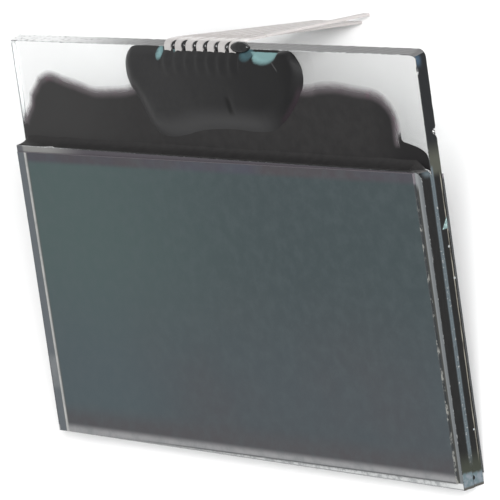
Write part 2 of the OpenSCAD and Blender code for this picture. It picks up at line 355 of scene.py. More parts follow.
glass_face, t, p, g = clear_glass("glass_face", (0.92, 0.925, 0.925, 1.0), 0.01)
lamp_through(t, g, (0.93, 0.95, 0.945, 1.0))

glass_wall, t, p, g = clear_glass("glass_broken_wall", (0.97, 0.98, 0.98, 1.0), 0.08)
streaks = noise(t, stretched(t, p, 0.5, 0.5, 6.0), 1.4, 4.0, 0.6)
t.links.new(bump(t, streaks, 0.03, 0.25), g.node.inputs["Normal"])
brim = rise(t, measures(t, p)[2], 0.55, 0.95)
frost = node(t, "ShaderNodeBsdfDiffuse", {
    "Color": tint(t, brim, (0.88, 0.90, 0.90, 1), (0.20, 0.21, 0.22, 1))}).outputs[0]
g = node(t, "ShaderNodeMixShader", {0: rise(t, streaks, 0.1, 0.6, 0.6, 0.8), 1: g, 2: frost}).outputs[0]
lamp_through(t, g, (0.9, 0.93, 0.92, 1.0))

top_wall, t, p = panel_material("glass_top_break")
x = measures(t, p)[0]
streaks = noise(t, stretched(t, p, 1.6, 1.0, 5.0), 1.2, 5.0, 0.65)
tone = tint(t, rise(t, x, 4.0, 22.0), (0.78, 0.79, 0.79, 1), (0.100, 0.100, 0.100, 1))
paint(t, {
    "Base Color": tint(t, rise(t, streaks, 0.45, 0.8), tone, (0.09, 0.09, 0.095, 1)),
    "Roughness": 0.3, "Normal": bump(t, streaks, 0.03, 0.6)})

side_wall, t, p = panel_material("glass_side_break")
_, y, z = measures(t, p)
streaks = noise(t, stretched(t, p, 1.0, 0.5, 7.0), 1.3, 4.0, 0.6)
deep = tint(t, streaks, (0.003, 0.003, 0.0035, 1), (0.010, 0.0105, 0.010, 1))
ledge_tone = tint(t, rise(t, y, *LEDGE_DULL), (0.008, 0.009, 0.010, 1), (0.045, 0.047, 0.038, 1))
nook = times(t, rise(t, y, *NOOK_Y), rise(t, z, 0.4, 0.9))
ledge_tone = tint(t, nook, ledge_tone, (0.030, 0.052, 0.078, 1))
on_ledge = times(t, rise(t, y, 25.2, 25.9), rise(t, z, 1.17, 1.12))
deep = tint(t, on_ledge, deep, ledge_tone)
seam = times(t, band(t, z, SEAM_Z), rise(t, y, 26.4, 26.0))
# Painted highlight: the rounded corner of the front plate's wall takes the seam's blue-grey, where its
# curve catches the light.
corner = times(t, rise(t, y, 25.3, 25.8), rise(t, z, 1.14, 1.16))
seam = sums(t, "MAXIMUM", seam, times(t, corner, rise(t, z, 2.2, 1.5)))
specks = times(t, rise(t, noise(t, p, 4.0, 2.0), 0.58, 0.7), rise(t, y, 25.0, 24.5))
blue = tint(t, specks, (0.070, 0.088, 0.098, 1), (0.24, 0.25, 0.25, 1))
deep = tint(t, times(t, seam, rise(t, streaks, 0.25, 0.4)), deep, blue)
thread = times(t, band(t, z, THREAD_Z), rise(t, y, 25.8, 25.0))
deep = tint(t, times(t, thread, rise(t, streaks, 0.3, 0.6)), deep, (0.20, 0.19, 0.16, 1))
# Painted light: at the foot of the break the wall is a patchy pale blue-grey, for the bottom corner's
# facets catching more light; it darkens along the very bottom and at the plates' joint.
patchy = noise(t, p, 2.6, 3.0)
sway = sums(t, "SUBTRACT", patchy, rise(t, z, 0.9, 1.3, 0.5, 0.9))
wavy = sums(t, "ADD", y, times(t, sway, 0.5))
pale = tint(t, rise(t, patchy, 0.35, 0.65), (0.075, 0.105, 0.115, 1), (0.13, 0.15, 0.17, 1))
pale = tint(t, rise(t, y, 0.32, 0.12), pale, (0.05, 0.048, 0.042, 1))
pale = tint(t, band(t, z, JOINT_Z), pale, (0.02, 0.022, 0.022, 1))
low = tint(t, rise(t, wavy, 1.3, 0.95), (0.026, 0.029, 0.022, 1), pale)
# Painted shade: the small hole is only a near-black painted dot.
low = tint(t, rise(t, apart(t, y, z, *HOLE), 0.05, 0.022), low, (0.002, 0.002, 0.002, 1))
deep = tint(t, rise(t, y, 3.4, 1.6), deep, low)
# Painted glints: the splinter is painted near-white, and the shell chip teal going to pale teal, where the
# glints noise is high.
glints = rise(t, noise(t, p, 7.0, 2.0), 0.5, 0.58)
for at_y, at_z, reach, colour in (SPLINTER_GLINT,) + SPECKS:
    there = rise(t, apart(t, y, z, at_y, at_z), reach * reach, reach * reach / 2)
    if (at_y, at_z) == SPLINTER_GLINT[:2]:
        there = times(t, there, glints)
    deep = tint(t, there, deep, colour)
slant = sums(t, "ADD", z, times(t, y, SHELL_SLANT))
shell = times(t, rise(t, y, SHELL_FOOT, SHELL_FOOT + 0.12), rise(t, z, 0.12, 0.18))
shell = times(t, shell, rise(t, slant, 13.38, 13.30))
deep = tint(t, shell, deep, tint(t, glints, (0.13, 0.19, 0.19, 1), (0.30, 0.41, 0.40, 1)))
paint(t, {
    "Base Color": deep, "Roughness": 0.32, "Specular IOR Level": 0.14,
    "Normal": bump(t, streaks, 0.02, 0.5)})

# Painted highlights: the arris faces are painted pale grey to near-white glints by the sparkle noise,
# dimmer at the left end; at the right end and along the front plate's rim by the step they are painted
# dark.
arris, t, p = panel_material("glass_arris_painted_glint")
sparkle = noise(t, stretched(t, p, 1, 1, 3), 3.0, 3.0, 0.7)
x, y, z = measures(t, p)
step_rim = times(t, rise(t, z, 1.16, 1.2), rise(t, y, 24.0, 25.0))
step_rim = times(t, step_rim, rise(t, x, 4.0, 10.0))
paint(t, {
    "Base Color": tint(
        t, sums(t, "MAXIMUM", rise(t, x, 54.0, 54.6), step_rim),
        tint(t, rise(t, sums(t, "ADD", sparkle, rise(t, x, 1.2, 0.5, 0.0, -0.3)), 0.4, 0.62),
             (0.16, 0.165, 0.17, 1), (0.66, 0.68, 0.68, 1)),
        tint(t, rise(t, sparkle, 0.55, 0.72), (0.020, 0.023, 0.024, 1), (0.24, 0.25, 0.25, 1))),
    "Roughness": 0.25})
glass_mats = [glass_face, side_wall, top_wall, glass_wall, arris]

worn_corner = [
    (PANEL_W + CORNER_W * (math.cos(a) - 1), TOP_Y + CORNER_H * (math.sin(a) - 1))
    for a in np.radians([0, 18, 36, 54, 72, 90])]
rear_corners = [(0, 0), (PANEL_W, 0)] + worn_corner + [(0, TOP_Y)]
rear_plate = snapped_plate(
    "back_glass_plate", rear_corners, 0.0, GLASS_T, 11, glass_mats,
    low_chips=[((PANEL_W, 28.8), 0.45, 0.17), ((PANEL_W, 21.2), 0.5, 0.2), ((PANEL_W, 15.1), 0.35, 0.12)],
    high_chips=[((PANEL_W, 34.0), 0.3, 0.12)], flare=FLARE, top=TOP_Y)
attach(rear_plate, "root")
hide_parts("rear_glass")


# Front glass: the smaller plate over the window, laid 0.15 mm to the right of the rear one, with
# one rounded upper corner. It leaves the rear plate's ledge bare for the contacts.
CELL_GAP = 0.05
STEP_Z = GLASS_T + CELL_GAP
FRONT_Z = STEP_Z + GLASS_T
PLATE_SHIFT = 0.15
ROUND_R = 0.8
round_corner = [
    (PANEL_W + PLATE_SHIFT - ROUND_R + ROUND_R * math.cos(a), WINDOW_H - ROUND_R + ROUND_R * math.sin(a))
    for a in np.radians([0, 15, 30, 45, 60, 75, 90])]
front_corners = [(PLATE_SHIFT, 0), (PANEL_W + PLATE_SHIFT, 0)] + round_corner + [(PLATE_SHIFT, WINDOW_H)]
front_plate = snapped_plate(
    "front_glass_plate", front_corners, STEP_Z, FRONT_Z, 23, glass_mats,
    high_chips=[((PANEL_W + PLATE_SHIFT, 19.4), 0.6, 0.1)], small=0.045)
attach(front_plate, "root")
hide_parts("front_glass")


# Seal: a screen-printed line of thermoset epoxy between the plates, 0.6 mm wide, with a gap in it
# at the left edge for filling. Under pressure it spreads unevenly, so its rims wander a little.
SEAL_INSET = 0.55
SEAL_W = 0.6
PORT_Y = 5.7
PORT_W = 3.2
SINK = 0.004
cell_l, cell_r = PLATE_SHIFT + SEAL_INSET, PANEL_W - SEAL_INSET
cell_b, cell_t = SEAL_INSET, WINDOW_H - SEAL_INSET
seal_path = [
    (cell_l, PORT_Y + PORT_W / 2), (cell_l, cell_t), (cell_r, cell_t),
    (cell_r, cell_b), (cell_l, cell_b), (cell_l, PORT_Y - PORT_W / 2)]


def printed_line(name, path, width, z0, z1, seed, mats):
    """A flat closed line along straight runs, inside the path, with rims that wander."""
    rng = np.random.default_rng(seed)
    outer, inner = [], []
    centre = np.array([(cell_l + cell_r) / 2, (cell_b + cell_t) / 2])
    for (ax, ay), (bx, by) in zip(path, path[1:]):
        run = math.hypot(bx - ax, by - ay)
        side = np.array([-(by - ay), bx - ax]) / run
        if np.dot(side, centre - np.array([ax, ay])) < 0:
            side = -side
        count = max(2, round(run / 0.5))
        corner_a = width if (ax, ay) != path[0] else 0
        corner_b = width if (bx, by) != path[-1] else 0
        for k in range(count + 1):
            s = k / count
            out = np.array([ax + (bx - ax) * s, ay + (by - ay) * s])
            q = (corner_a + (run - corner_a - corner_b) * s) / run
            inn = np.array([ax + (bx - ax) * q, ay + (by - ay) * q]) + side * width
            outer.append(out + side * rng.uniform(0, 0.04))
            inner.append(inn - side * rng.uniform(0, 0.05))
    ring = outer + inner[::-1]
    count, half = len(ring), len(outer)
    points = [(x, y, z0) for x, y in ring] + [(x, y, z1) for x, y in ring]
    faces = []
    for k in range(half - 1):
        a, b, c, d = k, k + 1, count - 2 - k, count - 1 - k
        faces += [(a, b, c, d), (d + count, c + count, b + count, a + count)]
    for k in range(count):
        n = (k + 1) % count
        faces.append((k, k + count, n + count, n))
    return new_piece(name, points, faces, mats)


seal_mat, t, p = panel_material("seal_epoxy_line")
spacers = node(t, "ShaderNodeTexVoronoi", {"Vector": p, "Scale": 14.0}).outputs["Distance"]
paint(t, {
    "Base Color": tint(t, rise(t, spacers, 0.1, 0.3), (0.42, 0.45, 0.47, 1), (0.24, 0.27, 0.29, 1)),
    "Roughness": 0.5})
seal = printed_line("cell_seal_line", seal_path, SEAL_W, GLASS_T - SINK, STEP_Z + SINK, 31, [seal_mat])
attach(seal, "root")
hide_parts("seal_ring")


# Liquid crystal: the thin filling between the plates inside the seal, with its clear electrodes.
# Unpowered it hides nothing by itself; between the crossed films it looks dark.
def slab(name, x0, x1, y0, y1, z0, z1, mats, cell=2.0):
    """A flat body cut into even fields."""
    xs = np.linspace(x0, x1, max(2, round((x1 - x0) / cell)) + 1)
    ys = np.linspace(y0, y1, max(2, round((y1 - y0) / cell)) + 1)
    low = [(x, y, z0) for y in ys for x in xs]
    high = [(x, y, z1) for y in ys for x in xs]
    nx, ny, size = len(xs), len(ys), len(low)
    faces = []
    for j in range(ny - 1):
        for i in range(nx - 1):
            a = j * nx + i
            b = size + a
            faces += [(a, a + nx, a + nx + 1, a + 1), (b, b + 1, b + nx + 1, b + nx)]
    for i in range(nx - 1):
        b = (ny - 1) * nx + i
        faces += [(i, i + 1, size + i + 1, size + i), (b + 1, b, size + b, size + b + 1)]
    for j in range(ny - 1):
        a, b = j * nx, j * nx + nx - 1
        faces += [(a + nx, a, size + a, size + a + nx), (b, b + nx, size + b + nx, size + b)]
    return new_piece(name, low + high, faces, mats)


crystal_mat, t, p = panel_material("crystal_cell")
cloud = noise(t, p, 0.12, 4.0)
paint(t, {
    "Base Color": tint(t, cloud, (0.035, 0.05, 0.052, 1), (0.05, 0.064, 0.064, 1)),
    "Roughness": 0.25})
crystal = slab(
    "crystal_filling", cell_l + SEAL_W, cell_r - SEAL_W, cell_b + SEAL_W, cell_t - SEAL_W,
    GLASS_T - SINK, STEP_Z + SINK, [crystal_mat])
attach(crystal, "root")
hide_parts("liquid_crystal")


# Plug of the filling gap: a drop of clear amber resin wiped across the left edge and cured.
# The source's own piece is kept, with this resin on it.
def coat_node(name, mat):
    """Puts a material on a piece that is kept from the source."""
    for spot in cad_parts[name].material_slots:
        spot.material = mat


plug_mat, t, p = panel_material("filling_plug_resin")
paint(t, {
    "Base Color": tint(t, noise(t, p, 1.6), (0.55, 0.53, 0.47, 1), (0.38, 0.37, 0.34, 1)),
    "Roughness": 0.22})
coat_node("fill_port_plug", plug_mat)


# Front film: the polarising film over the window, 0.2 mm plastic with a sticky back, knife-cut and
# laid on slightly askew. Its edges are ragged, with pale flakes at the right; a border shows paler.
FILM_T = 0.2
FILM_LEFT = 0.35
FILM_RIGHT = 0.7
FILM_TOP = 0.30
FILM_FOOT = 0.32
FILM_TURN = math.radians(0.5)
LINE_X = (1.46, 1.60, 1.68, 2.0)
BORDER_X = 1.54
PORT_GLOW_Y = (3.8, 4.4, 6.6, 7.4)
FOOT_BAND = (1.25, 0.62)
TOP_BAND = (24.6, 25.15)
LEFT_BAND = (2.2, 1.7)


def cut_film(name, centre, half_w, half_h, turn, z0, z1, seed, ragged, mats):
    """A film cut by knife; ragged says how far the walls of its four sides wander inwards."""
    rng = np.random.default_rng(seed)
    corners = [(-half_w, -half_h), (half_w, -half_h), (half_w, half_h), (-half_w, half_h)]
    spots, inward = walk(corners, 0.2)
    near_x, near_y = half_w - 0.01, half_h - 0.01
    side = np.select([spots[:, 1] < -near_y, spots[:, 0] > near_x, spots[:, 1] > near_y], [0, 1, 2], 3)
    far = np.array(ragged)[side]
    rough = np.convolve(rng.uniform(0, 1, len(spots) + 4), [0.25, 0.5, 0.5, 0.5, 0.25], "same")[2:-2] / 2
    rough = np.clip(rough * 2.2 - 0.6, 0, 1)
    c, s = math.cos(turn), math.sin(turn)
    loops = []
    for z, share in ((z0, 0.0), (z0 + (z1 - z0) * 0.5, 0.55), (z1 - 0.02, 1.0), (z1, 1.15)):
        at = spots + inward * (far * rough * share + (0.02 if z == z1 else 0))[:, None]
        loops.append(np.column_stack([
            centre[0] + c * at[:, 0] - s * at[:, 1],
            centre[1] + s * at[:, 0] + c * at[:, 1], np.full(len(at), z)]))
    count = len(spots)
    faces, kinds = [tuple(range(count))[::-1], tuple(range(3 * count, 4 * count))], [0, 0]
    for part in range(3):
        for k in range(count):
            a, b = part * count + k, part * count + (k + 1) % count
            faces.append((a, b, b + count, a + count))
            kinds.append(1)
    return new_piece(name, np.concatenate(loops), faces, mats, kinds)


film_face, t, p = panel_material("film_face")
x, y, _ = measures(t, p)
across = sums(t, "ADD", x, times(t, sums(t, "SUBTRACT", y, 13.0), FILM_TURN))
up = sums(t, "SUBTRACT", y, times(t, sums(t, "SUBTRACT", x, 28.0), FILM_TURN))
wave = noise(t, p, 0.07, 3.0)
upper = tint(t, rise(t, across, 5.0, 40.0), (0.048, 0.075, 0.074, 1), (0.034, 0.049, 0.053, 1))
lower = tint(t, rise(t, wave, 0.35, 0.65), (0.044, 0.056, 0.064, 1), (0.047, 0.052, 0.059, 1))
lower = tint(t, rise(t, across, 26.0, 8.0), lower, (0.047, 0.066, 0.075, 1))
main = tint(t, rise(t, up, 19.0, 5.0), upper, lower)
main = tint(t, rise(t, up, 3.4, 1.3), main, (0.052, 0.050, 0.055, 1))
violet = tint(t, rise(t, wave, 0.4, 0.6), (0.050, 0.044, 0.050, 1), (0.046, 0.048, 0.066, 1))
main = tint(t, rise(t, up, *TOP_BAND), main, violet)
# Painted shade: a soft brownish shadow beside the light line at the left, fading out to the right.
main = tint(t, rise(t, across, *LEFT_BAND), main, (0.055, 0.056, 0.050, 1))
main = tint(t, rise(t, up, *FOOT_BAND), main, (0.24, 0.24, 0.245, 1))
line = times(t, band(t, across, LINE_X), rise(t, up, 25.9, 25.7))
main = tint(t, line, main, (0.40, 0.40, 0.39, 1))
border = rise(t, across, BORDER_X, BORDER_X - 0.1)
main = tint(t, border, main, (0.094, 0.105, 0.116, 1))
main = tint(t, times(t, band(t, y, PORT_GLOW_Y), border), main, (0.150, 0.160, 0.168, 1))
foot_line = times(t, rise(t, up, 0.50, 0.40), rise(t, x, 6.0, 24.0))
main = tint(t, times(t, foot_line, 0.7), main, (0.045, 0.047, 0.050, 1))
grain = noise(t, p, 9.0, 4.0, 0.6)
cloudy = rise(t, noise(t, p, 0.9, 5.0, 0.7), 0.35, 0.75, 0.0, 0.35)
main = tint(t, cloudy, main, (0.064, 0.082, 0.088, 1))
paint(t, {
    "Base Color": main, "Roughness": 0.34, "IOR": 1.48, "Specular IOR Level": 0.4,
    "Normal": bump(t, grain, 0.004, 0.5)})

film_edge, t, p = panel_material("film_cut_edge")
fray = noise(t, stretched(t, p, 2.0, 0.9, 2.0), 1.1, 4.0, 0.7)
_, high, out = measures(t, p)
flakes = times(t, rise(t, fray, 0.52, 0.62), rise(t, high, 24.6, 23.4))
flakes = times(t, flakes, rise(t, out, 1.0, 2.0))
cut = tint(t, flakes, (0.022, 0.025, 0.027, 1), (0.18, 0.18, 0.168, 1))
# Painted light: along the top the cut edge is painted a lighter violet, where it lies in the step's shade.
paint(t, {
    "Base Color": tint(t, rise(t, high, 24.9, 25.2), cut, (0.115, 0.104, 0.116, 1)),
    "Roughness": 0.4})

front_film = cut_film(
    "front_film",
    (PLATE_SHIFT + (FILM_LEFT + PANEL_W - FILM_RIGHT) / 2, (FILM_FOOT + WINDOW_H - FILM_TOP) / 2),
    (PANEL_W - FILM_LEFT - FILM_RIGHT) / 2, (WINDOW_H - FILM_FOOT - FILM_TOP) / 2,
    FILM_TURN, FRONT_Z - SINK, FRONT_Z + FILM_T, 41, (0.02, 0.035, 0.02, 0.02), [film_face, film_edge])
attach(front_film, "root")
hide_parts("front_polarizer")


# Margin round the front film: a hair-thin opaque sheet on the bare glass, painted light along the foot
# for the white floor seen through it, the painted light grey of the lit seal at the sides with a
# painted shade line by the film's right edge, and violet-grey under the lacquered step.
def flat_ring(name, outer, inner, parts, z0, z1, mats):
    """A flat band between two four-sided outlines, the outer one drawn in at its rounded corner."""
    rings = [[(ax + (bx - ax) * k / parts, ay + (by - ay) * k / parts)
              for (ax, ay), (bx, by) in zip(corners, corners[1:] + corners[:1]) for k in range(parts)]
             for corners in (outer, inner)]
    middle = (PANEL_W + PLATE_SHIFT - ROUND_R, WINDOW_H - ROUND_R)
    reach = ROUND_R - ARRIS
    for k, (px, py) in enumerate(rings[0]):
        dx, dy = px - middle[0], py - middle[1]
        if dx > 0 and dy > 0 and math.hypot(dx, dy) > reach:
            share = reach / math.hypot(dx, dy)
            rings[0][k] = (middle[0] + dx * share, middle[1] + dy * share)
    count = 4 * parts
    points = [(px, py, z) for z in (z0, z1) for ring in rings for px, py in ring]
    faces = []
    for a in range(count):
        b = (a + 1) % count
        a1, b1, a2, b2, a3, b3 = (v + count * k for k in (1, 2, 3) for v in (a, b))
        faces += [(a, b, b1, a1), (a2, a3, b3, b2), (a, a2, b2, b), (a1, b1, b3, a3)]
    return new_piece(name, points, faces, mats)


MARGIN_LAP = 0.15
MARGIN_PARTS = 120
FOOT_MARGIN = (0.62, 0.52)
FOOT_RIM = (0.14, 0.09)
RIGHT_MARGIN = (55.0, 55.5)
LEFT_MARGIN = (1.3, 0.9)
margin_light_mat, t, p = panel_material("margin_painted_light")
x, y, _ = measures(t, p)
flecks = noise(t, p, 1.8, 4.0, 0.7)
swing = math.sin(FILM_TURN)
tone = tint(t, rise(t, x, 4.0, 11.0), (0.20, 0.20, 0.195, 1), (0.056, 0.050, 0.060, 1))
# Painted light: the right margin is the light grey of the lit seal seen through the glass, darker towards
# the plate's edge; a painted shade line follows the film's right edge.
side = tint(t, rise(t, x, 55.5, 56.0), (0.22, 0.235, 0.24, 1), (0.13, 0.14, 0.147, 1))
film_side = sums(t, "ADD", x, times(t, y, swing))
side = tint(t, times(t, rise(t, film_side, 55.86, 55.76), rise(t, y, 25.2, 24.4)),
            side, (0.050, 0.051, 0.048, 1))
tone = tint(t, rise(t, x, *RIGHT_MARGIN), tone, side)
tone = tint(t, rise(t, x, *LEFT_MARGIN), tone, (0.085, 0.088, 0.098, 1))
# Painted light: the foot strip is pale, brightest to the right, for the white floor seen through the bare
# glass; a darker line runs along the glass's very foot.
foot = tint(t, rise(t, flecks, 0.42, 0.62), (0.47, 0.48, 0.48, 1), (0.27, 0.28, 0.285, 1))
foot = tint(t, rise(t, x, 52.5, 55.5), foot, (0.56, 0.57, 0.57, 1))
foot = tint(t, rise(t, x, 4.0, 36.0), (0.31, 0.31, 0.31, 1), foot)
foot = tint(t, rise(t, y, *FOOT_RIM), foot, (0.25, 0.255, 0.26, 1))
tone = tint(t, rise(t, y, *FOOT_MARGIN), tone, foot)
paint(t, {"Base Color": tone, "Roughness": 0.3, "Normal": bump(t, flecks, 0.01, 0.4)})
film_l, film_r = PLATE_SHIFT + FILM_LEFT, PLATE_SHIFT + PANEL_W - FILM_RIGHT
film_b, film_t = FILM_FOOT, WINDOW_H - FILM_TOP
half_w, half_h = (film_r - film_l) / 2, (film_t - film_b) / 2
slip, sag = half_h * swing, half_w * swing
inner = [(film_l + slip + MARGIN_LAP, film_b - sag + MARGIN_LAP),
         (film_r + slip - MARGIN_LAP, film_b + sag + MARGIN_LAP),
         (film_r - slip - MARGIN_LAP, film_t + sag - MARGIN_LAP),
         (film_l - slip + MARGIN_LAP, film_t - sag - MARGIN_LAP)]
outer = [(PLATE_SHIFT + ARRIS, ARRIS), (PANEL_W + PLATE_SHIFT - ARRIS, ARRIS),
         (PANEL_W + PLATE_SHIFT - ARRIS, WINDOW_H - ARRIS), (PLATE_SHIFT + ARRIS, WINDOW_H - ARRIS)]
haze = flat_ring("film_margin_painted_light", outer, inner, MARGIN_PARTS, FRONT_Z - 0.002, FRONT_Z + 0.006, [margin_light_mat])
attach(haze, "root")


# Rear film: the second polarising film, stuck on the back of the cell, with a dull silvery outer
# face. It is cut to its own margins.
REAR_FOOT = 0.9
REAR_SIDE = 0.1
REAR_TOP_GAP = 0.6
rear_film_face, t, p = panel_material("rear_film_face")
grain = noise(t, p, 7.0, 4.0, 0.6)
paint(t, {
    "Base Color": tint(t, noise(t, p, 0.08), (0.16, 0.165, 0.17, 1), (0.20, 0.205, 0.205, 1)),
    "Roughness": 0.42, "Metallic": 0.25, "Normal": bump(t, grain, 0.006, 0.6)})
rear_film = cut_film(
    "rear_film", (PANEL_W / 2, (WINDOW_H + REAR_FOOT - REAR_TOP_GAP) / 2),
    PANEL_W / 2 - REAR_SIDE, (WINDOW_H - REAR_FOOT - REAR_TOP_GAP) / 2,
    0.0, -FILM_T, SINK, 43, (0.04, 0.08, 0.05, 0.05), [rear_film_face, film_edge])
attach(rear_film, "root")
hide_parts("rear_polarizer")


# Contact tracks and chip: printed metal tracks on the ledge, and the bare driver chip that is
# pressed face down on them in a film of glue. The coats hide them in front; the back shows them.
for name, look, grain, scale, dark, pale, metal, rough in (
        ("contact_tracks", "ledge_tracks", (1, 1, 1), 2.0,
         (0.34, 0.36, 0.35, 1), (0.42, 0.44, 0.43, 1), 0.6, 0.35),
        ("driver_chip", "bare_chip", (1, 4, 1), 3.0,
         (0.06, 0.06, 0.075, 1), (0.09, 0.09, 0.1, 1), 0.4, 0.3),
        ("chip_bond_film", "chip_glue_film", (1, 1, 1), 3.0,
         (0.30, 0.26, 0.18, 1), (0.22, 0.20, 0.15, 1), 0.0, 0.45)):
    mat, t, p = panel_material(look)
    shade = noise(t, stretched(t, p, *grain), scale)
    paint(t, {"Base Color": tint(t, shade, dark, pale), "Metallic": metal, "Roughness": rough})
    coat_node(name, mat)


# Clip pins: strips punched from tinned phosphor bronze, bent over the broken edge of the ledge.
# The plating is dull silver with fine draw lines along the strip; it is painted lighter on the bends,
# as a highlight, and darker on the leads, as shade.
PIN_COUNT = 7
PIN_PITCH = 1.5
tin_mat, t, p = panel_material("tinned_strip_metal")
drawn = noise(t, stretched(t, p, 14.0, 0.6, 1.0), 1.0, 4.0, 0.6)
blotch = noise(t, p, 1.1, 3.0)
# Painted highlight and shade: the bends, out of the face, are painted lighter than the leads below the
# glass.
bend = rise(t, measures(t, p)[2], -0.5, 0.1)
plating = tint(t, bend, (0.47, 0.445, 0.435, 1), (0.74, 0.72, 0.71, 1))
paint(t, {
    "Base Color": tint(t, blotch, plating, (0.50, 0.47, 0.46, 1)),
    "Metallic": 0.45, "Roughness": rise(t, drawn, 0.2, 0.8, 0.34, 0.46),
    "Normal": bump(t, drawn, 0.004, 0.35)})
for k in range(PIN_COUNT):
    coat_node("pin_%d" % (k + 1), tin_mat)


# Ledge lacquer: a thin black conformal coat brushed along the step, over the tracks. It thins
# out to a hazy purple-grey rim, and climbs the wall of the front plate.
LACQUER_T = 0.08
LACQUER_RIM = [
    (0.02, 26.02), (0.13, 28.1), (0.75, 29), (1.35, 29.6), (1.55, 30.1), (1.7, 30.6), (2.7, 31.5),
    (3.3, 32.1), (4.2, 32.5), (5.1, 32.7), (6.1, 32.6), (7.3, 32.3), (9, 32), (10.8, 31.6), (12, 31.45),
    (13.8, 31.5), (15.6, 31.6), (17, 31.8), (19.5, 32.3), (24, 32.8), (30, 32.9), (36, 32.6),
    (41.2, 32.45), (43, 32.7), (45, 32.8), (46.6, 32.7), (48.2, 32.55), (50, 32.4), (51.2, 32),
    (52.25, 31.2), (52.85, 30.2), (52.95, 29.2), (52.9, 28.25), (53.7, 28), (54.8, 27.75), (55.6, 27.4),
    (55.93, 27), (55.96, 26.4), (55.97, 25.8), (55.8, 25.92), (55.5, 26.02)]


def smooth_rim(rim, step):
    """Points about step apart on a smooth closed line through the rim's points."""
    ring = np.array(rim, float)
    made = []
    for k in range(len(ring)):
        a, b, c, d = (ring[(k + j) % len(ring)] for j in (-1, 0, 1, 2))
        run = np.linalg.norm(c - b)
        a = b if np.linalg.norm(b - a) > 3 * run + 1 or run > 6 else a
        d = c if np.linalg.norm(d - c) > 3 * run + 1 or run > 6 else d
        count = max(1, round(np.linalg.norm(c - b) / step))
        for s in np.arange(count) / count:
            made.append(b + 0.5 * s * (c - a + s * (2 * a - 5 * b + 4 * c - d + s * (3 * (b - c) + d - a))))
    return np.array(made)


def from_rim(places, rim):
    """Each place's distance from a closed rim."""
    a, b = rim, np.roll(rim, -1, 0)
    best = np.full(len(places), 1e9)
    for p0, p1 in zip(a, b):
        d = p1 - p0
        s = np.clip(((places - p0) @ d) / max(d @ d, 1e-12), 0, 1)
        best = np.minimum(best, np.linalg.norm(places - (p0 + s[:, None] * d), axis=1))
    return best


def within(places, rim):
    """True where a place lies inside a closed rim."""
    inside = np.zeros(len(places), bool)
    for (ax, ay), (bx, by) in zip(rim, np.roll(rim, -1, 0)):
        cross = (ay > places[:, 1]) != (by > places[:, 1])
        if ay != by:
            inside ^= cross & (places[:, 0] < (bx - ax) * (places[:, 1] - ay) / (by - ay) + ax)
    return inside


def poured(name, rim, spacing, z_low, height, mats, rows=(0.04, 0.1)):
    """A poured coat: flat below within rim, its top's height from place and distance."""
    lo, hi = rim.min(0), rim.max(0)
    gx, gy = np.meshgrid(np.arange(lo[0], hi[0], spacing), np.arange(lo[1], hi[1], spacing))
    gx = gx + (np.arange(gx.shape[0])[:, None] % 2) * spacing / 2
    field = np.column_stack([gx.ravel(), gy.ravel()])
    field = field[within(field, rim)]
    field = field[from_rim(field, rim) > rows[-1] + spacing * 0.4]
    ahead = np.roll(rim, -1, 0) - np.roll(rim, 1, 0)
    inward = np.column_stack([-ahead[:, 1], ahead[:, 0]])
    inward /= np.linalg.norm(inward, axis=1)[:, None]
    if not within((rim + inward * 0.01)[:1], rim)[0]:
        inward = -inward
    sets = [rim]
    for back in rows:
        ring = rim + inward * back
        ring = ring[from_rim(ring, rim) > back * 0.85]
        sets.append(ring[within(ring, rim)])
    places = np.concatenate(sets + [field])
    made = delaunay_2d_cdt([Vector(q) for q in places], [], [list(range(len(rim)))], 1, 1e-6)
    flat = np.array([(v.x, v.y) for v in made[0]])
    away = from_rim(flat, rim)
    on_rim = away < 1e-4
    top = height(flat[:, 0], flat[:, 1], away)
    top[on_rim] = 0
    size = len(flat)
    under = np.where(on_rim, np.arange(size), np.arange(size) + size)
    points = np.concatenate([
        np.column_stack([flat, z_low + top]), np.column_stack([flat, np.full(size, z_low)])])
    faces = [tuple(f) for f in made[2]] + [tuple(int(under[k]) for k in f)[::-1] for f in made[2]]
    used = sorted({k for f in faces for k in f})
    back = {k: n for n, k in enumerate(used)}
    faces = [tuple(back[k] for k in f) for f in faces]
    spread = np.concatenate([away, away])[used]
    return new_piece(name, points[used], faces, mats, smooth=True, values={"from_rim": spread})


def lacquer_height(x, y, away):
    """The coat's thickness: it builds up from a feather edge, with brush waves."""
    body = LACQUER_T * np.clip(away / 0.8, 0, 1) ** 0.7
    return SINK + body * (0.82 + 0.1 * np.sin(x * 1.3 + 2 * np.sin(y)) + 0.08 * np.sin(y * 4.1 + x * 0.4))


lacquer_mat, t, p = panel_material("black_lacquer_coat")
away = node(t, "ShaderNodeAttribute", attribute_name="from_rim").outputs["Fac"]
mottle = noise(t, p, 1.4, 4.0, 0.6)
side_way, low, _ = measures(t, p)
deep = tint(t, mottle, (0.008, 0.0075, 0.008, 1), (0.024, 0.023, 0.023, 1))
deep = tint(t, rise(t, side_way, 22.0, 6.0), deep, (0.026, 0.0255, 0.0255, 1))
deep = tint(t, rise(t, side_way, 48.0, 54.0), deep, (0.007, 0.0065, 0.007, 1))
solid = times(t, rise(t, low, 29.2, 28.3), rise(t, side_way, 52.2, 52.7))
solid = sums(t, "MAXIMUM", rise(t, low, 28.2, 27.5), solid)
rosy = tint(t, rise(t, noise(t, p, 0.7), 0.55, 0.7), (0.13, 0.112, 0.122, 1), (0.17, 0.105, 0.135, 1))
edge_way = sums(t, "ADD", away, times(t, mottle, 0.25))
paint(t, {
    "Base Color": tint(t, sums(t, "MAXIMUM", rise(t, edge_way, 0.4, 1.35), solid), rosy, deep),
    "Alpha": sums(t, "MAXIMUM", rise(t, edge_way, 0.0, 1.1), solid),
    "Roughness": 0.45, "Specular IOR Level": 0.3,
    "Normal": bump(t, mottle, 0.012, 0.4)})
